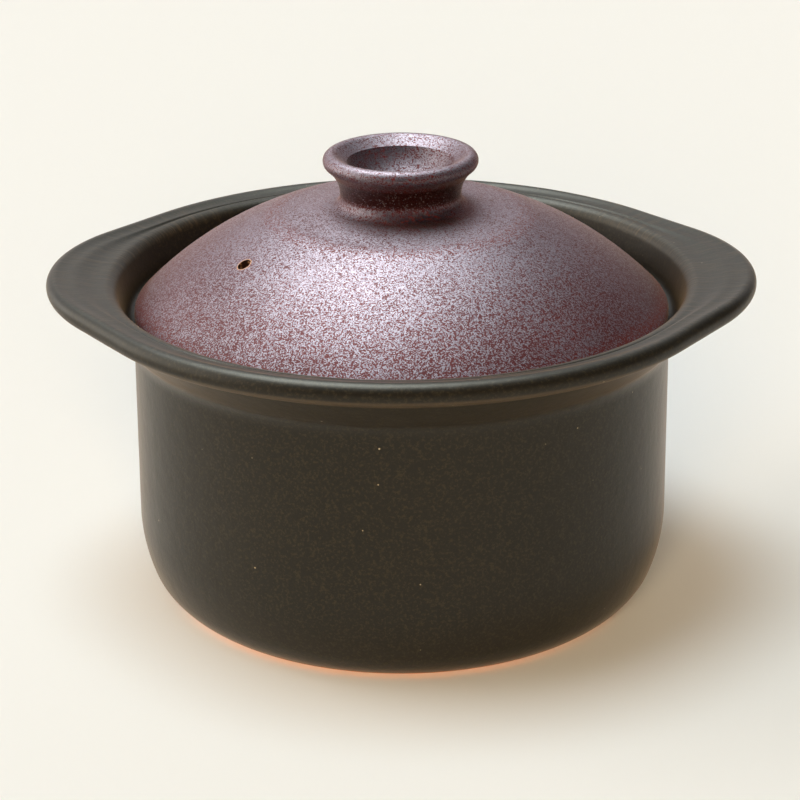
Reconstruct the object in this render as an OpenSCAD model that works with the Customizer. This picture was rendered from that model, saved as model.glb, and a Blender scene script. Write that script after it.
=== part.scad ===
// Earthenware rice pot with an oval winged rim and a domed lid.
// Millimetres, +Z up. The pot stands on its foot at z = 0, with its wings along X.

/* [Body] */
// Outer diameter of the straight wall
body_d = 200; // [180:2:230]
// Thickness of the wall
wall_t = 8; // [6.5:0.5:9]
// Thickness of the floor
floor_t = 10; // [8:0.5:14]
// Height at which the straight wall turns into the lower corner
belly_h = 32; // [30:1:42]
// Radius of the lower corner where it leaves the wall
belly_r = 60; // [50:1:80]
// Radius of the lower corner next to the foot
heel_r = 20; // [18:1:28]
// Height of the slice that the flat foot takes off the heel's curve
heel_cut = 1.5; // [0.5:0.1:3]
// Radius of the corner between the floor and the wall, inside
floor_corner_r = 28; // [16:1:40]
// Width of the ring that the pot stands on
foot_ring_w = 22; // [12:1:35]
// Depth of the hollow turned into the foot, inside the ring
foot_hollow = 1.5; // [0.5:0.1:3]

/* [Rim] */
// Height of the rim's rolled edge above the table
rim_h = 122.5; // [112:0.5:140]
// Overhang of the rim past the wall, at the front and the back
side_reach = 21; // [18:0.5:26]
// Overhang of a wing past the wall, at its tip
wing_reach = 31; // [29:0.5:45]
// Radius of the outline round the tip of a wing
wing_tip_r = 80; // [60:1:95]
// Diameter of the rolled edge
roll_d = 7; // [6:0.5:10]
// Rise of the rolled edge above the flat of the rim
roll_rise = 0.8; // [0.3:0.1:1.2]
// Radius of the hollow between the rolled edge and the flat of the rim
roll_blend_r = 12; // [6:1:16]
// Slope of the rim's underside where it springs from the wall, in degrees off upright
spring_slope = 43; // [38:1:48]
// Radius that eases the wall into that slope
spring_r = 10; // [6:1:16]
// Radius of the rim's rounded inner edge
inner_edge_r = 5; // [3:0.5:6]

/* [Lid seat] */
// Depth of the seat below the rolled edge
seat_depth = 15.5; // [14:0.5:18]
// Gap round the lid, between its edge and the wall of the recess
lid_gap = 3.6; // [2:0.2:4]
// Slope of the recess wall, in degrees off upright
recess_slope = 15; // [5:1:20]
// Radius of the cove at the outside of the seat
cove_r = 4; // [2:0.5:5]

/* [Lid] */
// Overlap of the lid past the inside of the wall, at its edge
lid_overlap = 7; // [6:0.5:9]
// Thickness of the dome
lid_t = 7; // [5.5:0.5:8]
// Radius of the dome
dome_r = 137; // [130:1:160]
// Radius of the lid's rounded edge
lid_edge_r = 3.5; // [3:0.25:4.5]
// Diameter of the turned shoulder round the neck
shoulder_d = 94; // [84:1:110]
// Slope of the collar inside the shoulder, in degrees
collar_slope = 8; // [4:0.5:12]
// Radius that rounds the shoulder over
shoulder_r = 24; // [10:1:40]

/* [Knob] */
// Diameter of the neck under the knob
neck_d = 44.5; // [36:0.5:50]
// Radius of the fillet at the foot of the neck
neck_fillet_r = 4; // [3:0.5:6]
// Height of the straight part of the neck
neck_h = 0.3; // [0.1:0.1:4]
// Diameter of the knob over its lip
knob_d = 56.8; // [54:0.2:64]
// Radius of the knob's hollow flared side
knob_flare_r = 13; // [11:0.5:18]
// Radius of the knob's rounded lip
lip_r = 3; // [2.5:0.25:4]
// Slope of the lip's inner side, in degrees
lip_slope = 35; // [25:1:45]
// Radius of the bowl sunk into the knob
bowl_r = 21; // [19:0.5:24]
// Depth of the bowl below the top of the knob
bowl_depth = 17; // [12:0.5:18]

/* [Steam hole] */
// Diameter of the steam hole
steam_d = 5; // [3:0.5:8]
// Distance of the steam hole from the lid's axis
steam_reach = 65.5; // [58:0.5:80]
// Direction of the steam hole, in degrees from the right-hand wing
steam_turn = 211.5; // [0:0.5:360]

/* [Hidden] */
$fn = 96;

// Body
body_r = body_d / 2;
well_r = body_r - wall_t;
belly_c = [body_r - belly_r, belly_h];
heel_turn = asin((belly_h - heel_r + heel_cut) / (belly_r - heel_r));
heel_c = belly_c + (belly_r - heel_r) * [cos(heel_turn), -sin(heel_turn)];
foot_r = heel_c[0] + sqrt(pow(heel_r, 2) - pow(heel_c[1], 2));

// Rim
roll_r = roll_d / 2;
rim_under = rim_h - roll_d;
rim_flat = rim_h - roll_rise;
roll_h = rim_h - roll_r;
side_r = body_r + side_reach;
tip_c = body_r + wing_reach - wing_tip_r;
tip_turn = acos((side_r - wing_tip_r) / tip_c);
band_w = 2 * side_reach;
blend_run = sqrt(pow(roll_blend_r + roll_r, 2) - pow(roll_blend_r + roll_r - roll_rise, 2));

// Where the rim springs from the wall: the corner of wall and slope, and the circle that eases it
slope_dir = [sin(spring_slope), cos(spring_slope)];
spring_top = [side_r - roll_d, rim_under];
spring_corner = [body_r, rim_under - (spring_top[0] - body_r) / tan(spring_slope)];
spring_run = spring_r * tan(spring_slope / 2);
spring_c = spring_corner + [spring_r, -spring_run];

// Seat and lid
seat_h = rim_h - seat_depth;
lid_r = well_r + lid_overlap;
recess_dir = [sin(recess_slope), cos(recess_slope)];
recess_out = [cos(recess_slope), -sin(recess_slope)];
cove_c = [lid_r + lid_gap, seat_h + cove_r] - [cove_r * recess_out[0], 0];
recess_foot = cove_c + cove_r * recess_out;
recess_rise = rim_flat - inner_edge_r - inner_edge_r * recess_out[1] - recess_foot[1];
recess_top = recess_foot + recess_rise / recess_dir[1] * recess_dir;
brow_c = recess_top + inner_edge_r * recess_out;
edge_rise = 0.8 * lid_edge_r;
edge_c = [lid_r - lid_edge_r, seat_h + edge_rise];
dome_z = edge_c[1] - sqrt(pow(dome_r - lid_edge_r, 2) - pow(edge_c[0], 2));

// Shoulder: a circle that touches the dome from inside and the collar from below
ring_r = shoulder_d / 2;
down = [cos(collar_slope), -sin(collar_slope)];
up = [sin(collar_slope), cos(collar_slope)];
ring_h = dome_z + sqrt(pow(dome_r, 2) - pow(ring_r, 2));
crown_h = ring_h + ring_r * tan(collar_slope);
under_collar = [0, crown_h] - shoulder_r * up;
span = under_collar - [0, dome_z];
slide = -span * down + sqrt(pow(span * down, 2) - span * span + pow(dome_r - shoulder_r, 2));
shoulder_c = under_collar + slide * down;

// Knob, stacked on the collar
neck_r = neck_d / 2;
fillet_x = neck_r + neck_fillet_r;
fillet_c = [fillet_x, crown_h - fillet_x * tan(collar_slope) + neck_fillet_r / cos(collar_slope)];
waist_z = fillet_c[1] + neck_h;
flare_c = [neck_r + knob_flare_r, waist_z];
lip_x = knob_d / 2 - lip_r;
lip_rise = sqrt(pow(knob_flare_r + lip_r, 2) - pow(flare_c[0] - lip_x, 2));
lip_c = [lip_x, waist_z + lip_rise];
knob_h = lip_c[1] + lip_r;
lip_foot = lip_c + lip_r / (knob_flare_r + lip_r) * (flare_c - lip_c);
lip_in = lip_c + lip_r * [-sin(lip_slope), cos(lip_slope)];

// A little more than enough for a cut to pass through a face, and for a turn to pass its end
over = 1;
spare_turn = 5;

// Section of the rim's outer band: a flat plate that rises into a roll. It is drawn from the band's
// outermost point inwards and from its underside up, so that every stretch has the very same section.
module rim_section() {
    flat = roll_d - roll_rise;
    roll_c = [-roll_r, roll_r];
    blend_c = [-roll_r - blend_run, flat + roll_blend_r];
    translate([-band_w, 0]) square([band_w - roll_r, flat]);
    translate(roll_c) circle(roll_r);
    difference() {
        polygon([[blend_c[0], roll_r], roll_c, blend_c]);
        translate(blend_c) circle(roll_blend_r);
    }
}

// The same section where it reaches out to r
module rim_half(r) {
    translate([r, rim_under]) rim_section();
}

// One quarter of the rim: a side's arc, the straight that touches it and a wing's arc, cut off
// where the next quarters go on
module rim_quarter() {
    run = tip_c * sin(tip_turn);
    intersection() {
        rotate([0, 0, tip_turn]) {
            rotate_extrude(angle = 90 - tip_turn + spare_turn) rim_half(side_r);
            rotate([90, 0, 0]) linear_extrude(run) rim_half(side_r);
            translate([side_r - wing_tip_r, -run, 0]) mirror([0, 1, 0])
                rotate_extrude(angle = tip_turn + spare_turn) rim_half(wing_tip_r);
        }
        translate([0, 0, rim_under - over]) cube([2 * side_r, 2 * side_r, roll_d + 2 * over]);
    }
}

// Oval rim with its two wings
module rim() {
    for (side = [0, 1], end = [0, 1]) mirror([0, side, 0]) mirror([end, 0, 0]) rim_quarter();
}

// Half-section of the body's outside, from the foot to the underside of the rim
module body_half() {
    spring_end = spring_corner + spring_run * slope_dir;
    difference() {
        union() {
            polygon([
                [0, belly_h],
                [body_r, belly_h],
                spring_corner,
                spring_top,
                [spring_top[0], roll_h],
                [0, roll_h]
            ]);
            polygon([[0, spring_c[1]], spring_c, spring_end, [0, spring_end[1]]]);
            intersection() {
                translate(belly_c) circle(belly_r);
                square([body_r, belly_h]);
            }
        }
        translate(spring_c) circle(spring_r);
        heel_waste();
        square([foot_r - foot_ring_w, foot_hollow]);
    }
}

// What the heel's smaller arc takes off the lower corner
module heel_waste() {
    difference() {
        translate(heel_c) polygon([
            [0, 0],
            belly_r * [cos(heel_turn), -sin(heel_turn)],
            [belly_r, -belly_r],
            [0, -belly_r]
        ]);
        translate(heel_c) circle(heel_r);
    }
}

// Half-section of the pot's inside: the well, the seat, its cove and the recess
module well_half() {
    corner_c = [well_r - floor_corner_r, floor_t + floor_corner_r];
    translate([0, floor_t]) square([corner_c[0], floor_corner_r]);
    translate([0, corner_c[1]]) square([well_r, seat_h - corner_c[1] + over]);
    translate(corner_c) circle(floor_corner_r);
    polygon([
        [0, seat_h],
        [cove_c[0], seat_h],
        recess_foot,
        recess_top,
        [recess_top[0], rim_h + over],
        [0, rim_h + over]
    ]);
    translate(cove_c) circle(cove_r);
    difference() {
        polygon([recess_top, brow_c, [brow_c[0], rim_h + over], [recess_top[0], rim_h + over]]);
        translate(brow_c) circle(inner_edge_r);
    }
}

// Half-section of the dome under its collar, solid down to the seat
module dome_half() {
    difference() {
        union() {
            intersection() {
                translate([0, dome_z]) circle(dome_r);
                polygon([
                    [0, seat_h],
                    [edge_c[0], seat_h],
                    edge_c,
                    edge_c + lid_r * (edge_c - [0, dome_z]) / dome_r,
                    [ring_r, ring_h],
                    [0, crown_h]
                ]);
            }
            intersection() {
                translate(edge_c) circle(lid_edge_r);
                translate([0, seat_h]) square([lid_r, lid_r]);
            }
        }
        shoulder_waste();
    }
}

// What rounding takes off the corner between the dome and the collar
module shoulder_waste() {
    outward = (shoulder_c - [0, dome_z]) / (dome_r - shoulder_r);
    difference() {
        translate(shoulder_c) polygon([[0, 0], 2 * shoulder_r * outward, 2 * shoulder_r * up]);
        translate(shoulder_c) circle(shoulder_r);
    }
}

// Half-section of the knob on its neck, with the fillet that seats it on the collar
module knob_half() {
    difference() {
        polygon([
            [0, seat_h],
            fillet_c - neck_fillet_r * up,
            fillet_c,
            [neck_r, fillet_c[1]],
            [neck_r, waist_z],
            [0, waist_z]
        ]);
        translate(fillet_c) circle(neck_fillet_r);
    }
    difference() {
        translate([0, waist_z]) square([lip_foot[0], lip_foot[1] - waist_z]);
        translate(flare_c) circle(knob_flare_r);
    }
    polygon([[0, lip_foot[1]], lip_foot, lip_c, lip_in, [0, lip_in[1]]]);
    translate(lip_c) circle(lip_r);
}

// Half-section of the bowl in the knob and of the slope that leads into it
module bowl_half() {
    bowl_c = [0, knob_h - bowl_depth + bowl_r];
    slope_foot = knob_h - bowl_depth / 4;
    run = (slope_foot - lip_in[1]) / tan(lip_slope);
    intersection() {
        translate(bowl_c) circle(bowl_r);
        square([bowl_r, knob_h + over]);
    }
    polygon([
        [0, knob_h + over],
        [lip_in[0], knob_h + over],
        lip_in,
        [lip_in[0] + run, slope_foot],
        [0, slope_foot]
    ]);
}

// Steam hole, drilled square to the dome
module steam_hole() {
    lean = asin(steam_reach / dome_r);
    rotate([0, 0, steam_turn]) translate([0, 0, dome_z]) rotate([0, lean, 0])
        translate([0, 0, dome_r - 2 * lid_t]) cylinder(d = steam_d, h = 3 * lid_t);
}

module pot() {
    color("#3b3b37") difference() {
        union() {
            rotate_extrude() body_half();
            rim();
        }
        rotate_extrude() well_half();
    }
}

module lid() {
    color("#6d444b") difference() {
        rotate_extrude() {
            dome_half();
            knob_half();
        }
        rotate_extrude() intersection() {
            translate([0, dome_z]) circle(dome_r - lid_t);
            translate([0, seat_h - over]) square([lid_r, dome_r]);
        }
        rotate_extrude() bowl_half();
        steam_hole();
    }
}

pot();
lid();
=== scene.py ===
"""Finishes and stage for a glazed earthenware rice pot with a domed lid.

The script throws the pot's visible shape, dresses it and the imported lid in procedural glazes, and
sets a pale studio round them. Shapes and shader patterns count in millimetres, in the row's frame.
"""

import math

import bpy
from bpy.props import FloatProperty, FloatVectorProperty, PointerProperty
from bpy.types import Operator, Panel, PropertyGroup
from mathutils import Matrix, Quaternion, Vector


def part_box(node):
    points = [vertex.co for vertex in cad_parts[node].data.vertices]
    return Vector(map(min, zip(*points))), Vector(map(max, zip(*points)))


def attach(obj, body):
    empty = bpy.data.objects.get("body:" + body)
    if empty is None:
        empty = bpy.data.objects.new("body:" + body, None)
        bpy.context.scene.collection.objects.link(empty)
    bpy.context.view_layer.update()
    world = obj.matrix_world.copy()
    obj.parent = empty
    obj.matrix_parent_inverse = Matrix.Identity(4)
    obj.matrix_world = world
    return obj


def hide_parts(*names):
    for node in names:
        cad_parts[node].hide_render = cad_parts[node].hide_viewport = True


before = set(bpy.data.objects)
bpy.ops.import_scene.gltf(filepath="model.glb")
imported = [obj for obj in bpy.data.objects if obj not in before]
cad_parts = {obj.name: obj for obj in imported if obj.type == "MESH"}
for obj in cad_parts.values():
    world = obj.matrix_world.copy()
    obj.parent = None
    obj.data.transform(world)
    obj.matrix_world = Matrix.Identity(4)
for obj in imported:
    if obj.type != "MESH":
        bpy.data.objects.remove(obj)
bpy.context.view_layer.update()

bl_info = {
    "name": "Rice pot finishes",
    "version": (1, 0, 0),
    "blender": (4, 5, 0),
    "location": "3D View > Sidebar > Rice pot",
    "description": "Glazes for an earthenware rice pot, and a plain studio to show it in",
    "category": "Object",
}

MM = 0.001
POT_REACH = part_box("pot")[1]

# The lamps' turns from the right-hand wing, heights above the horizon and widths, in degrees
KEY = (124, 72, 42)
TOP = (162, 83, 28)
FILL = (266, 20, 36)
# Turns and heights of the middles of the window and of the wall behind the pot
WINDOW = (176, 10)
WALL = (110, 0)
# Cosines of the angles off those middles at which each ends and at which it is in full
WINDOW_EDGES = (0.74, 0.88)
WALL_EDGES = (0.3, 0.8)
# Sines of the heights at which the wall ends and at which it is in full
WALL_TOP = (0.68, 0.42)
# Half the floor's width, in metres
FLOOR_REACH = 6

# The thicker roll in front and behind stands in by this share of its swell, so that the rim keeps
# its outline in the camera's view, and the slope under it ends lower by this other share
ROLL_INSET = 1.67
SLOPE_DROP = 1.9


def paint(code):
    """Linear red, green and blue of an sRGB colour written as #rrggbb."""
    parts = [int(code[i : i + 2], 16) / 255 for i in (1, 3, 5)]
    return tuple(c / 12.92 if c <= 0.04045 else ((c + 0.055) / 1.055) ** 2.4 for c in parts)


def colour(name, description, code):
    """A colour property whose default is written as #rrggbb."""
    return FloatVectorProperty(
        name=name, description=description, default=paint(code), subtype="COLOR", min=0, max=1
    )


def length(name, description, default):
    """A length property whose default is written in millimetres."""
    return FloatProperty(
        name=name, description=description, default=default * MM, unit="LENGTH", min=0
    )


def number(name, description, default):
    """A plain number, such as a lamp's strength."""
    return FloatProperty(name=name, description=description, default=default, min=0)


def share(name, description, default):
    """A share from 0 to 1."""
    return FloatProperty(
        name=name, description=description, default=default, subtype="FACTOR", min=0, max=1
    )


def angle(name, description, default):
    """An angle property whose default is written in degrees."""
    return FloatProperty(
        name=name, description=description, default=math.radians(default), subtype="ANGLE"
    )


def heading(turn, height):
    """Unit vector by its turn from the right-hand wing and its height, in degrees."""
    turn, height = math.radians(turn), math.radians(height)
    flat = math.cos(height)
    return Vector((flat * math.cos(turn), flat * math.sin(turn), math.sin(height)))


# Shader maths


class Socket:
    """An output of a shader node. Maths on it adds the nodes that work it out."""

    def __init__(self, tree, out):
        self.tree = tree
        self.out = out

    def math(self, operation, *others):
        values = dict(enumerate((self, *others)))
        return self.tree.add("ShaderNodeMath", {"operation": operation}, values)

    def __add__(self, other):
        return self.math("ADD", other)

    def __mul__(self, other):
        return self.math("MULTIPLY", other)

    def __sub__(self, other):
        return self.math("SUBTRACT", other)

    def __truediv__(self, other):
        return self.math("DIVIDE", other)

    def __pow__(self, other):
        return self.math("POWER", other)

    def __rsub__(self, other):
        return self.tree.add("ShaderNodeMath", {"operation": "SUBTRACT"}, {0: other, 1: self})

    __radd__ = __add__
    __rmul__ = __mul__

    def step(self, low, high):
        """0 below low, 1 above high, and a smooth rise between them. Low may be the larger one."""
        limits = {"Value": self, "From Min": low, "From Max": high}
        return self.tree.add("ShaderNodeMapRange", {"interpolation_type": "SMOOTHSTEP"}, limits)

    def band(self, low, high, soft):
        """1 between low and high, and 0 further than soft outside them."""
        return self.step(low - soft, low) * self.step(high + soft, high)


class Shader:
    """The node tree of a material or world."""

    def __init__(self, owner):
        owner.use_nodes = True
        self.tree = owner.node_tree
        self.tree.nodes.clear()

    def add(self, kind, settings=None, inputs=None, out=0):
        """Adds a node: its settings first, then the values or links of its sockets."""
        node = self.tree.nodes.new(kind)
        for key, value in (settings or {}).items():
            setattr(node, key, value)
        for key, value in (inputs or {}).items():
            if isinstance(value, Socket):
                self.tree.links.new(value.out, node.inputs[key])
            else:
                node.inputs[key].default_value = value
        return Socket(self, node.outputs[out]) if len(node.outputs) else node

    def mix(self, factor, first, second, blend="MIX"):
        """Colour between first and second, each a socket or linear red, green and blue."""
        first, second = (c if isinstance(c, Socket) else (*c, 1) for c in (first, second))
        settings = {"data_type": "RGBA", "blend_type": blend}
        return self.add("ShaderNodeMix", settings, {0: factor, 6: first, 7: second}, 2)

    def vector(self, operation, first, second=None, scale=None, out=0):
        inputs = {0: first}
        if second is not None:
            inputs[1] = second
        if scale is not None:
            inputs["Scale"] = scale
        return self.add("ShaderNodeVectorMath", {"operation": operation}, inputs, out)

    def place(self):
        """Place on the object, in millimetres."""
        there = self.add("ShaderNodeTexCoord", out="Object")
        return self.vector("SCALE", there, scale=1 / MM)

    def axes(self, there):
        return [self.add("ShaderNodeSeparateXYZ", {}, {0: there}, out) for out in range(3)]

    def point(self, x, y, z):
        return self.add("ShaderNodeCombineXYZ", {}, {0: x, 1: y, 2: z})

    def noise(self, there, scale, detail=2.0, roughness=0.5):
        """Noise from 0 to 1. The scale is in cells per millimetre."""
        inputs = {"Vector": there, "Scale": scale, "Detail": detail, "Roughness": roughness}
        return self.add("ShaderNodeTexNoise", {}, inputs)

    def cells(self, there, scale, out):
        """Distance to, or colour of, the nearest of many scattered points."""
        return self.add("ShaderNodeTexVoronoi", {}, {"Vector": there, "Scale": scale}, out)

    def bump(self, height, depth, normal=None):
        """Bump from a height of 0 to 1. The depth is in millimetres."""
        inputs = {"Height": height, "Distance": depth * MM}
        if normal is not None:
            inputs["Normal"] = normal
        return self.add("ShaderNodeBump", {}, inputs)

    def surface(self, inputs):
        """Ends the material in one shaded surface."""
        shaded = self.add("ShaderNodeBsdfPrincipled", {}, inputs)
        self.add("ShaderNodeOutputMaterial", {}, {"Surface": shaded})


def new_material(name):
    material = bpy.data.materials.new(name)
    return material, Shader(material)


# Settings


class StageSettings(PropertyGroup):
    """Camera, lamps and floor"""

    camera_lens: FloatProperty(
        name="Lens", description="Focal length on a 36 mm sensor, in millimetres",
        default=110.296, min=20, max=400,
    )
    camera_aim: FloatVectorProperty(
        name="Camera's aim", description="Point that the camera looks at",
        default=(-0.75 * MM, 0, 70.7877 * MM), subtype="TRANSLATION", unit="LENGTH",
    )
    camera_height: angle("Camera height", "Angle of the camera above the horizon", 21.9491)
    camera_distance: length("Camera distance", "From the camera to the point it aims at", 927.2)
    camera_roll: angle("Camera roll", "Tilt of the camera about its own line of sight", -0.3498)
    floor_colour: colour("Floor", "Colour of the floor", "#f0f0f0")
    key_colour: colour("Key's colour", "Colour of the lamp that shines in the glaze", "#f2fcff")
    key_strength: number("Key lamp", "Strength of the lamp that shines in the glaze", 6.6)
    top_colour: colour("Top lamp's colour", "Colour of the soft lamp overhead", "#e3f7ff")
    top_strength: number("Top lamp", "Strength of the soft lamp overhead", 1.27)
    fill_colour: colour("Fill lamp's colour", "Colour of the soft lamp in front", "#ffe2b7")
    fill_strength: number("Fill lamp", "Strength of the soft lamp in front", 3.52)
    window_colour: colour("Window's colour", "Colour of the wide window on the left", "#fffaf1")
    window_strength: number("Window", "Brightness of the wide window on the left", 3.3)
    wall_colour: colour("Wall's colour", "Colour of the wall behind the pot", "#f6f9ff")
    wall_strength: number("Wall", "Brightness of the wall behind the pot", 0.85)
    dark_strength: number("Dark side", "Brightness of the rest of the studio", 0.05)


class PotSettings(PropertyGroup):
    """Shape and colours of the pot"""

    body_radius: length("Body", "Radius of the straight wall", 100)
    taper: length("Taper", "How far the wall leans in towards the rim", 0.55)
    wall: length("Wall", "Thickness of the wall", 8)
    floor: length("Floor", "Thickness of the floor", 10)
    belly_height: length("Belly's height", "Height at which the wall turns in", 32)
    belly_radius: length("Belly", "Radius of the lower corner next to the wall", 60)
    heel_radius: length("Heel", "Radius of the lower corner next to the foot", 20)
    heel_cut: length("Foot's cut", "What the flat foot takes off the heel's curve", 1.5)
    floor_corner: length("Inner corner", "Radius between the floor and the wall, inside", 28)
    foot_ring: length("Foot ring", "Width of the ring that the pot stands on", 22)
    foot_hollow: length("Foot's hollow", "Depth of the hollow inside the foot ring", 1.5)
    tip_radius: length("Wing's outline", "Radius of the rim's outline round a wing's tip", 80)
    roll: length("Rolled edge", "Diameter of the rolled edge", 6.6)
    roll_swell: length("Roll's swell", "Growth of the roll's radius in front and behind", 0.9)
    roll_rise: length("Roll's rise", "Rise of the rolled edge above the rim's flat", 0.6)
    roll_run: length("Roll's hollow", "Width of the hollow inside the rolled edge's crest", 5.7)
    rim_sag: length("Rim's sag", "How far the rim sank in firing", 0.2)
    wing_lift: length("Wing's lift", "How far the wings' tips are drawn up in throwing", 1.65)
    dish: length("Dish", "How far the rim's flat is dished between its edges", 0.3)
    spring_slope: angle("Spring's slope", "Slope under the rim, off upright", 43)
    spring_radius: length("Spring", "Radius that eases the wall into that slope", 10)
    brow: length("Brow", "Radius of the rim's rounded inner edge", 5)
    seat_depth: length("Seat's depth", "Depth of the lid's seat below the rolled edge", 15.3)
    recess: length("Recess", "Radius of the recess at its foot, outside the cove", 102.6)
    recess_slope: angle("Recess's slope", "Slope of the recess wall, off upright", 15)
    cove: length("Cove", "Radius at the outside of the seat", 4)
    # Where along the wings the tan on the rim's streaks and brow begins and is in full; much of
    # that tan is painted sheen
    streak_start: length("Streaks' start", "Distance off the middle where the streaks begin", 55)
    streak_full: length("Streaks in full", "Distance off the middle where they are in full", 95)
    speck_cells: number("Speck cells", "Cells per millimetre that can each hold a speck", 0.16)
    roughness: share("Roughness", "Roughness of the glaze at its smoothest, on the rim", 0.37)
    glaze: colour("Glaze", "Colour of the charcoal glaze", "#120f0a")
    glaze_cloud: colour("Clouds", "Colour of the soft clouds in the glaze", "#16120c")
    grain: colour("Grain", "Colour of the fine grain in the glaze", "#2e281b")
    # Tan of the glaze breaking over edges, also used as painted sheen on the rim: warm reflections
    # on its brow and wings, and a reflection of the floor under its rolled edge
    glaze_thin: colour("Thin glaze", "Colour of the glaze where it breaks over an edge", "#6f5a42")
    speck: colour("Specks", "Colour of the specks in the glaze", "#a8987c")
    clay: colour("Clay", "Colour of the bare clay of the foot", "#e08a48")
    clay_dark: colour("Darker clay", "Colour of the bare clay's darker patches", "#c06c34")


class LidSettings(PropertyGroup):
    """Places, amounts and colours in the lid's crystal glaze"""

    shoulder: length("Shoulder", "Radius of the turned shoulder round the neck", 47)
    neck: length("Neck", "Radius inside which the neck's fillet begins", 29)
    neck_foot: length("Neck's foot", "Height at which the neck's fillet ends", 154)
    neck_top: length("Lip's height", "Height at which the knob's lip begins", 159)
    lid_edge: length("Edge", "Radius of the lid's edge", 99)
    steam_reach: length("Steam hole", "Distance of the steam hole from the lid's axis", 65.5)
    steam_turn: angle("Steam hole's turn", "Direction of the steam hole from the right wing", 211.5)
    steam_width: length("Steam hole's width", "Diameter of the steam hole", 5)
    dome: length("Dome", "Radius of the dome", 137)
    dome_height: length("Dome's centre", "Height of the centre of the dome's curve", 16.5)
    crystal_cells: number("Crystals", "Number of crystals in a row of one millimetre", 2.6)
    crystal_share: share("Crystals' share", "Share of the glaze that the crystals cover", 0.73)
    roughness: share("Roughness", "Roughness of the crystal glaze", 0.54)
    glaze: colour("Glaze", "Colour of the glaze between its crystals", "#3a1216")
    glaze_thin: colour("Thin glaze", "Colour of the glaze where it breaks over an edge", "#6a2823")
    # Painted shade on the outside of the neck, under the knob's lip
    glaze_thick: colour("Thick glaze", "Colour of the glaze where it has run together", "#1c0807")
    crystal: colour("Crystals", "Colour of the bright crystals in the glaze", "#8a8288")
    crystal_dark: colour("Dull crystals", "Colour of the dull crystals in the glaze", "#6a5f65")
    clay: colour("Clay", "Colour of the clay round the steam hole", "#b98a66")
    # Painted shade that darkens the inside of the steam hole
    hollow: colour("Hole", "Colour of the steam hole's sooty inside", "#1c110c")


def names(settings):
    """Names of a group's own settings."""
    return [name for name in settings.bl_rna.properties.keys() if name not in {"rna_type", "name"}]


def in_mm(settings):
    """The settings' values by name, with lengths in millimetres."""
    values = {}
    for name in names(settings):
        value = getattr(settings, name)
        unit = getattr(settings.bl_rna.properties[name], "unit", "")
        values[name] = value / MM if unit == "LENGTH" else value
    return values


# The pot's shape


def arc(centre, radius, start, end, count):
    """Points on an arc after its start, by angles in degrees from outwards to upwards."""
    turns = [math.radians(start + (end - start) * i / count) for i in range(1, count + 1)]
    return [(centre[0] + radius * math.cos(t), centre[1] + radius * math.sin(t)) for t in turns]


def line(start, end, count):
    """Points on a straight line after its start."""
    return [
        tuple(a + (b - a) * i / count for a, b in zip(start, end)) for i in range(1, count + 1)
    ]


def body_section(m, roll_h):
    """The pot's outside from under its middle to the slope under the rim, as radius and height.

    It also returns the radius and height where that slope ends.
    """
    belly_c = (m["body_radius"] - m["belly_radius"], m["belly_height"])
    drop = m["belly_radius"] - m["heel_radius"]
    turn = math.asin((m["belly_height"] - m["heel_radius"] + m["heel_cut"]) / drop)
    heel_c = (belly_c[0] + drop * math.cos(turn), belly_c[1] - drop * math.sin(turn))
    foot_turn = math.asin(heel_c[1] / m["heel_radius"])
    foot_r = heel_c[0] + m["heel_radius"] * math.cos(foot_turn)
    hollow_r = foot_r - m["foot_ring"]
    side_r = POT_REACH[1] / MM
    under = roll_h - m["roll"] / 2
    top = (side_r - m["roll"], under)
    wall_r = m["body_radius"] - m["taper"]
    corner = (wall_r, under - (top[0] - wall_r) / math.tan(m["spring_slope"]))
    run = m["spring_radius"] * math.tan(m["spring_slope"] / 2)
    ease_c = (corner[0] + m["spring_radius"], corner[1] - run)
    slope = math.degrees(m["spring_slope"])
    path = [(hollow_r / 8, m["foot_hollow"])]
    path += line(path[-1], (hollow_r, m["foot_hollow"]), 6)
    path += line(path[-1], (hollow_r, 0), 1)
    path += line(path[-1], (foot_r, 0), 4)
    path += arc(heel_c, m["heel_radius"], -math.degrees(foot_turn), -math.degrees(turn), 14)
    path += arc(belly_c, m["belly_radius"], -math.degrees(turn), 0, 8)
    path += line(path[-1], (wall_r, ease_c[1]), 10)
    path += arc(ease_c, m["spring_radius"], 180, 180 - slope, 6)
    return path, top


def well_section(m, rim_h):
    """The pot's inside from the brow's crest to its floor's middle, as radius and height."""
    slope = m["recess_slope"]
    out = (math.cos(slope), -math.sin(slope))
    seat = rim_h - m["seat_depth"]
    flat = rim_h - m["roll_rise"]
    cove_c = (m["recess"] - m["cove"] * out[0], seat + m["cove"])
    foot = (m["recess"], cove_c[1] + m["cove"] * out[1])
    rise = flat - m["brow"] - m["brow"] * out[1] - foot[1]
    top = (foot[0] + rise * math.tan(slope), foot[1] + rise)
    brow_c = (top[0] + m["brow"] * out[0], top[1] + m["brow"] * out[1])
    well_r = m["body_radius"] - m["wall"]
    corner_c = (well_r - m["floor_corner"], m["floor"] + m["floor_corner"])
    tilt = math.degrees(slope)
    path = [(brow_c[0], flat)]
    path += arc(brow_c, m["brow"], 90, 180 - tilt, 10)
    path += line(path[-1], foot, 6)
    path += arc(cove_c, m["cove"], -tilt, -90, 7)
    path += line(path[-1], (well_r, seat), 3)
    path += line(path[-1], (well_r, corner_c[1]), 8)
    path += arc(corner_c, m["floor_corner"], 0, -90, 10)
    path += line(path[-1], (well_r / 8, m["floor"]), 5)
    return path


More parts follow.
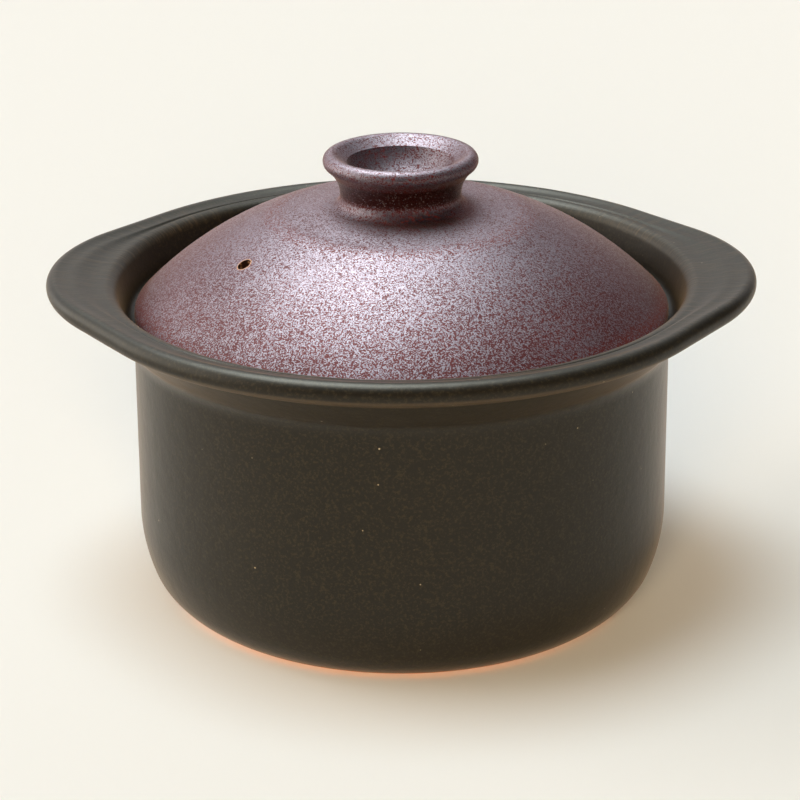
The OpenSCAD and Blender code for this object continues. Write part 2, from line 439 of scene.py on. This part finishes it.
def outline(turn, tip_radius):
    """The rim's edge in this direction from the axis, and the way it faces, as two vectors."""
    reach, side = (r / MM for r in POT_REACH[:2])
    toward = Vector((math.cos(turn), math.sin(turn)))
    ahead = Vector((abs(toward.x), abs(toward.y)))
    tip_c = Vector((reach - tip_radius, 0))
    straight = math.acos((side - tip_radius) / tip_c.x)
    facing = Vector((math.cos(straight), math.sin(straight)))
    if math.atan2(ahead.y, ahead.x) >= straight:
        edge = ahead * side
        facing = ahead
    else:
        edge = ahead * side / ahead.dot(facing)
        tip_end = tip_c + facing * tip_radius
        if edge.y < tip_end.y:
            along = ahead.dot(tip_c)
            edge = ahead * (along + math.sqrt(along**2 - tip_c.x**2 + tip_radius**2))
            facing = (edge - tip_c) / tip_radius
    back = Vector((math.copysign(1, toward.x), math.copysign(1, toward.y)))
    return edge * back, facing * back


def ring_section(turn, m, roll_h, slope_foot, slope_top, brow):
    """Points of the rim in this direction, from the slope under it over the roll to the brow."""
    edge, facing = outline(turn, m["tip_radius"])
    toward = Vector((math.cos(turn), math.sin(turn)))
    # The tips are drawn up, and the lift dies out soon beside them
    lift = m["wing_lift"] * math.cos(turn) ** 6
    swell = m["roll_swell"] * facing.y**2
    edge -= facing * swell * facing.y**2 * ROLL_INSET
    r = m["roll"] / 2 + swell
    run = m["roll_run"]
    rise = m["roll_rise"] + swell
    span = (run**2 + rise**2) / (2 * rise)
    lean = math.degrees(math.asin(run / span))
    flat = roll_h + r - rise

    def near_edge(inset, height):
        return (*(edge - facing * inset), height + lift)

    def eased(start, end, count, sag):
        points = []
        for i in range(1, count + 1):
            part = i / count
            smooth = part**2 * (3 - 2 * part)
            x, y = (a + (b - a) * part for a, b in zip(start[:2], end[:2]))
            hollow = sag * math.sin(math.pi * part) ** 2
            points.append((x, y, start[2] + (end[2] - start[2]) * smooth - hollow))
        return points

    drop = swell * SLOPE_DROP
    slope_top = (slope_top[0] - drop * math.tan(m["spring_slope"]), slope_top[1] - drop)
    path = [(*(toward * out), z) for out, z in line(slope_foot, slope_top, 6)]
    path += eased(path[-1], near_edge(r, roll_h - r), 6, 0)
    roll = arc((0, roll_h), r, -90, 90 + lean, 22)
    path += [near_edge(r - out, height) for out, height in roll]
    blend = arc((-run, flat + span - r), span - r, lean - 90, -90, 5)
    path += [near_edge(r - out, height) for out, height in blend]
    path += eased(path[-1], (*(toward * brow[0]), brow[1]), 10, m["dish"])
    return path


def pot_mesh(m, turns=320):
    """One closed skin: rings of points from under the foot, over the rim and down to the floor."""
    rim_h = POT_REACH[2] / MM - m["rim_sag"]
    roll_h = rim_h - m["roll"] / 2
    outside, slope_top = body_section(m, roll_h)
    inside = well_section(m, rim_h)
    points = []
    for i in range(turns):
        turn = 2 * math.pi * i / turns
        toward = (math.cos(turn), math.sin(turn))
        column = [(r * toward[0], r * toward[1], z) for r, z in outside]
        column += ring_section(turn, m, roll_h, outside[-1], slope_top, inside[0])
        column += [(r * toward[0], r * toward[1], z) for r, z in inside[1:]]
        points += column
    rows = len(points) // turns
    points += [(0, 0, m["foot_hollow"]), (0, 0, m["floor"])]
    under, floor = len(points) - 2, len(points) - 1
    faces = []
    for i in range(turns):
        here, there = i * rows, (i + 1) % turns * rows
        faces += [(here + j, there + j, there + j + 1, here + j + 1) for j in range(rows - 1)]
        faces.append((under, there, here))
        faces.append((floor, here + rows - 1, there + rows - 1))
    mesh = bpy.data.meshes.new("Pot")
    mesh.from_pydata([tuple(c * MM for c in p) for p in points], [], faces)
    mesh.shade_smooth()
    mesh.set_sharp_from_angle(angle=math.radians(50))
    return mesh


# Operators


class RICEPOT_OT_stage(Operator):
    """Make the camera, the lamps, the studio and the floor"""

    bl_idname = "ricepot.stage"
    bl_label = "Set the stage"

    def execute(self, context):
        settings = context.scene.rice_pot_stage
        self.make_camera(context, settings)
        key = self.make_lamp(context, "Key lamp", settings.key_colour, settings.key_strength, KEY)
        key.visible_diffuse = False
        top = self.make_lamp(context, "Top lamp", settings.top_colour, settings.top_strength, TOP)
        top.visible_glossy = False
        fill = self.make_lamp(
            context, "Fill lamp", settings.fill_colour, settings.fill_strength, FILL
        )
        fill.visible_glossy = False
        self.make_studio(context, settings)
        self.make_floor(context, settings)
        context.scene.view_settings.view_transform = "Standard"
        return {"FINISHED"}

    def make_camera(self, context, settings):
        tilt = settings.camera_height
        back = Vector((0, -math.cos(tilt), math.sin(tilt)))
        data = bpy.data.cameras.new("Camera")
        data.sensor_width = 36
        data.lens = settings.camera_lens
        data.clip_start = 0.05
        data.clip_end = 50
        camera = bpy.data.objects.new("Camera", data)
        camera.rotation_mode = "QUATERNION"
        camera.location = Vector(settings.camera_aim) + back * settings.camera_distance
        roll = Quaternion((0, 0, 1), settings.camera_roll)
        camera.rotation_quaternion = (-back).to_track_quat("-Z", "Y") @ roll
        context.scene.collection.objects.link(camera)
        context.scene.camera = camera

    def make_lamp(self, context, name, colour, energy, where):
        """A far, soft lamp. Where is its turn, its height and the angle that it fills."""
        turn, height, width = where
        data = bpy.data.lights.new(name, "SUN")
        data.energy = energy
        data.angle = math.radians(width)
        data.color = colour
        lamp = bpy.data.objects.new(name, data)
        lamp.location = heading(turn, height)
        lamp.rotation_mode = "QUATERNION"
        lamp.rotation_quaternion = (-lamp.location).to_track_quat("-Z", "Y")
        context.scene.collection.objects.link(lamp)
        return lamp

    def make_studio(self, context, settings):
        """A wide window on the left, a pale wall behind the pot and darkness elsewhere."""
        world = bpy.data.worlds.new("Studio")
        context.scene.world = world
        s = Shader(world)
        there = s.add("ShaderNodeTexCoord", out="Generated")
        height = s.axes(there)[2]

        def near(middle, edges):
            axis = heading(*middle)
            return s.vector("DOT_PRODUCT", there, axis, out="Value").step(*edges)

        window = near(WINDOW, WINDOW_EDGES) * settings.window_strength
        wall = near(WALL, WALL_EDGES) * height.step(*WALL_TOP) * settings.wall_strength
        light = window + (wall + settings.dark_strength)
        seen = s.add("ShaderNodeLightPath", out="Is Camera Ray")
        tone = s.mix(window / light, settings.wall_colour, settings.window_colour)
        strength = light + seen * (1 - light)
        glow = s.add("ShaderNodeBackground", {}, {"Color": tone, "Strength": strength})
        s.add("ShaderNodeOutputWorld", {}, {"Surface": glow})

    def make_floor(self, context, settings):
        mesh = bpy.data.meshes.new("Floor")
        signs = ((-1, -1), (1, -1), (1, 1), (-1, 1))
        corners = [(x * FLOOR_REACH, y * FLOOR_REACH, 0) for x, y in signs]
        mesh.from_pydata(corners, [], [(0, 1, 2, 3)])
        floor = bpy.data.objects.new("Floor", mesh)
        context.scene.collection.objects.link(floor)
        material, s = new_material("Floor")
        s.surface(
            {"Base Color": (*settings.floor_colour, 1), "Roughness": 0.9, "Specular IOR Level": 0.1}
        )
        mesh.materials.append(material)


class RICEPOT_OT_throw_pot(Operator):
    """Throw the pot's visible shape and dress it in a charcoal glaze, over a foot of bare clay"""

    bl_idname = "ricepot.throw_pot"
    bl_label = "Throw and glaze the pot"

    def execute(self, context):
        m = in_mm(context.scene.rice_pot_body)
        pot = bpy.data.objects.new("rice_pot_body", pot_mesh(m))
        pot.data.materials.append(self.make_glaze(m))
        context.scene.collection.objects.link(pot)
        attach(pot, "root")
        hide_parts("pot")
        return {"FINISHED"}

    def make_glaze(self, m):
        material, s = new_material("Charcoal glaze")
        there = s.place()
        x, y, z = s.axes(there)
        radius = (x * x + y * y) ** 0.5
        clouds = s.noise(there, 0.022, 3)
        grain = s.noise(there, 0.9, 3, 0.75)
        # Streaks run outwards on the rim, as the glaze was wiped there
        around = s.point(x / radius, y / radius, radius * 0.001)
        streaks = s.noise(around, 75, 3, 0.6).step(0.42, 0.75)
        flat, brow, lip = self.rim_masks(s, radius, z, m)
        # The rim's tan is partly glaze breaking over its edges and partly painted sheen: warm
        # reflections on the brow and the wings' streaks, kept off the front and back, and a painted
        # reflection of the floor under the rolled edge
        wings = x.math("ABSOLUTE").step(m["streak_start"], m["streak_full"])
        thin_glaze_and_painted_sheen = (brow * (streaks * 0.25 + 0.05) + flat * streaks * 0.16) * (wings + 0.1) + lip * 0.2
        base = s.mix(clouds.step(0.35, 0.7) * 0.5, m["glaze"], m["glaze_cloud"])
        base = s.mix(grain.step(0.48, 0.66) * 0.75, base, m["grain"])
        base = s.mix(thin_glaze_and_painted_sheen, base, m["glaze_thin"])
        # Few pale specks, each a small dot in a cell of its own
        pick, _, tone = s.axes(s.cells(there, m["speck_cells"], "Color"))
        dot = s.cells(there, m["speck_cells"], "Distance").step(0.07, 0.035)
        base = s.mix(dot * pick.step(0.6, 0.65) * tone, base, m["speck"])
        # The glaze ends in an uneven line, and the body's is smoother than the rim's
        bare = (z + (s.noise(there, 0.12) - 0.5) * 0.7).step(2.1, 1.7)
        base = s.mix(bare, base, s.mix(grain, m["clay"], m["clay_dark"]))
        body = radius.step(m["recess"] + 1.4, m["recess"] - 1.6) * z.step(1.6, 4)
        roughness = m["roughness"] + clouds * 0.08 + grain * 0.08
        roughness = roughness + thin_glaze_and_painted_sheen * 0.1 - body * 0.12 + bare * 0.35
        normal = s.bump(s.noise(there, 0.18), 0.12)
        normal = s.bump(grain, 0.035, normal)
        normal = s.bump(streaks * (flat + brow), 0.03, normal)
        normal = s.bump(1 - bare, 0.25, normal)
        s.surface(
            {
                "Base Color": base,
                "Roughness": roughness,
                "Normal": normal,
                "IOR": 1.39,
                "Specular Tint": (1, 0.94, 0.8, 1),
                "Sheen Weight": 0.12,
                "Sheen Roughness": 0.3,
                "Sheen Tint": (1, 0.68, 0.36, 1),
            }
        )
        return material

    def rim_masks(self, s, radius, z, m):
        """1 on the rim's flat, on its inner edge and under its rolled edge, and 0 elsewhere; these
        places carry painted sheen.
        """
        side_r, rim_h = (r / MM for r in POT_REACH[1:])
        brow_r = m["recess"] + m["brow"]
        roll_foot = rim_h - m["roll"]
        level = s.axes(s.add("ShaderNodeTexCoord", out="Normal"))[2]
        flat = z.step(rim_h - 4, rim_h - 2) * level.step(0.93, 0.985)
        flat = flat * radius.step(brow_r - 1.6, brow_r + 1.4)
        brow = radius.band(brow_r - 2.1, brow_r - 0.1, 2.5) * z.step(rim_h - 5, rim_h - 2.5)
        lip = z.band(roll_foot - 0.9, roll_foot + 1.1, 1) * radius.step(side_r - 5, side_r - 2)
        return flat, brow, lip


class RICEPOT_OT_glaze_lid(Operator):
    """Dress the lid in a wine-brown glaze full of fine crystals"""

    bl_idname = "ricepot.glaze_lid"
    bl_label = "Glaze the lid"

    def execute(self, context):
        m = in_mm(context.scene.rice_pot_lid)
        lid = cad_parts["lid"]
        lid.data.materials.clear()
        lid.data.materials.append(self.make_glaze(m))
        return {"FINISHED"}

    def make_glaze(self, m):
        material, s = new_material("Crystal glaze")
        there = s.place()
        x, y, z = s.axes(there)
        radius = (x * x + y * y) ** 0.5
        clouds = s.noise(there, 0.035, 3, 0.55)
        # The neck's outside is painted dark, as painted shade under the knob's lip, and its glaze
        # is smooth there; the glaze runs thinner and red on the edges
        nx, ny, _ = s.axes(s.add("ShaderNodeTexCoord", out="Normal"))
        outside = ((nx * x + ny * y) / radius).step(-0.1, 0.3)
        neck = radius.step(m["neck"], m["neck"] - 3) * z.band(m["neck_foot"], m["neck_top"], 3)
        neck = neck * outside
        shoulder = radius.band(m["shoulder"] - 1.5, m["shoulder"] + 1, 5)
        edge = radius.step(m["lid_edge"] - 7, m["lid_edge"] - 1.5)
        breaks = shoulder * 0.35 + edge * 0.5
        outer = radius.step(m["shoulder"] + 3, m["lid_edge"] - 7)
        pick, turn, tone = s.axes(s.cells(there, m["crystal_cells"], "Color"))
        base = s.mix(clouds * 0.5 + breaks, m["glaze"], m["glaze_thin"])
        # Painted shade on the neck under the knob's lip
        base = s.mix(neck, base, m["glaze_thick"])
        amount = m["crystal_share"] + (clouds - 0.5) * 0.4
        amount = amount - outer * 0.28 - breaks * 0.4 - neck * 0.7
        crystal = (amount - pick).step(-0.06, 0.06)
        base = s.mix(crystal, base, s.mix(tone, m["crystal_dark"], m["crystal"]))
        roughness = m["roughness"] + (turn - 0.5) * 0.12 - neck * 0.24
        bare, hollow = self.steam_hole(s, there, m)
        base = s.mix(bare, base, m["clay"])
        # Painted shade inside the steam hole
        base = s.mix(hollow, base, m["hollow"])
        normal = s.bump(s.noise(there, 2.2, 2, 0.65) * (1 - neck * 0.6), 0.07)
        normal = s.bump(s.noise(there, 0.12), 0.15, normal)
        s.surface(
            {
                "Base Color": base,
                "Roughness": roughness,
                "Metallic": crystal * (1 - bare),
                "Normal": normal,
                "IOR": 1.5,
                "Specular Tint": (0.62, 0.36, 0.36, 1),
                "Sheen Weight": 0.1,
                "Sheen Roughness": 0.3,
                "Sheen Tint": (1, 0.75, 0.5, 1),
            }
        )
        return material

    def steam_hole(self, s, there, m):
        """1 on the bare clay in and round the steam hole, and 1 inside it, where the hole's shade
        is painted dark.
        """
        lean = math.degrees(math.acos(m["steam_reach"] / m["dome"]))
        axis = heading(math.degrees(m["steam_turn"]), lean)
        offset = s.vector("SUBTRACT", there, (0, 0, m["dome_height"]))
        away = s.vector("LENGTH", s.vector("CROSS_PRODUCT", offset, axis), out="Value")
        away = away - (s.noise(there, 0.6) - 0.5) * 0.5
        edge = m["steam_width"] / 2
        return away.step(edge + 0.5, edge + 0.3), away.step(edge + 0.15, edge)


class RICEPOT_PT_panel(Panel):
    """Settings and steps of the rice pot's finishes"""

    bl_idname = "RICEPOT_PT_panel"
    bl_label = "Rice pot"
    bl_space_type = "VIEW_3D"
    bl_region_type = "UI"
    bl_category = "Rice pot"

    def draw(self, context):
        for group, step in STEPS:
            box = self.layout.box()
            settings = getattr(context.scene, group)
            for name in names(settings):
                box.prop(settings, name)
            box.operator(step.bl_idname)


STEPS = (
    ("rice_pot_stage", RICEPOT_OT_stage),
    ("rice_pot_body", RICEPOT_OT_throw_pot),
    ("rice_pot_lid", RICEPOT_OT_glaze_lid),
)
GROUPS = {
    "rice_pot_stage": StageSettings,
    "rice_pot_body": PotSettings,
    "rice_pot_lid": LidSettings,
}
CLASSES = (*GROUPS.values(), *(step for _, step in STEPS), RICEPOT_PT_panel)


def register():
    for cls in CLASSES:
        bpy.utils.register_class(cls)
    for name, group in GROUPS.items():
        setattr(bpy.types.Scene, name, PointerProperty(type=group))


def unregister():
    for name in GROUPS:
        delattr(bpy.types.Scene, name)
    for cls in reversed(CLASSES):
        bpy.utils.unregister_class(cls)


def main():
    register()
    bpy.ops.ricepot.stage()
    bpy.ops.ricepot.throw_pot()
    bpy.ops.ricepot.glaze_lid()


if __name__ == "__main__":
    main()
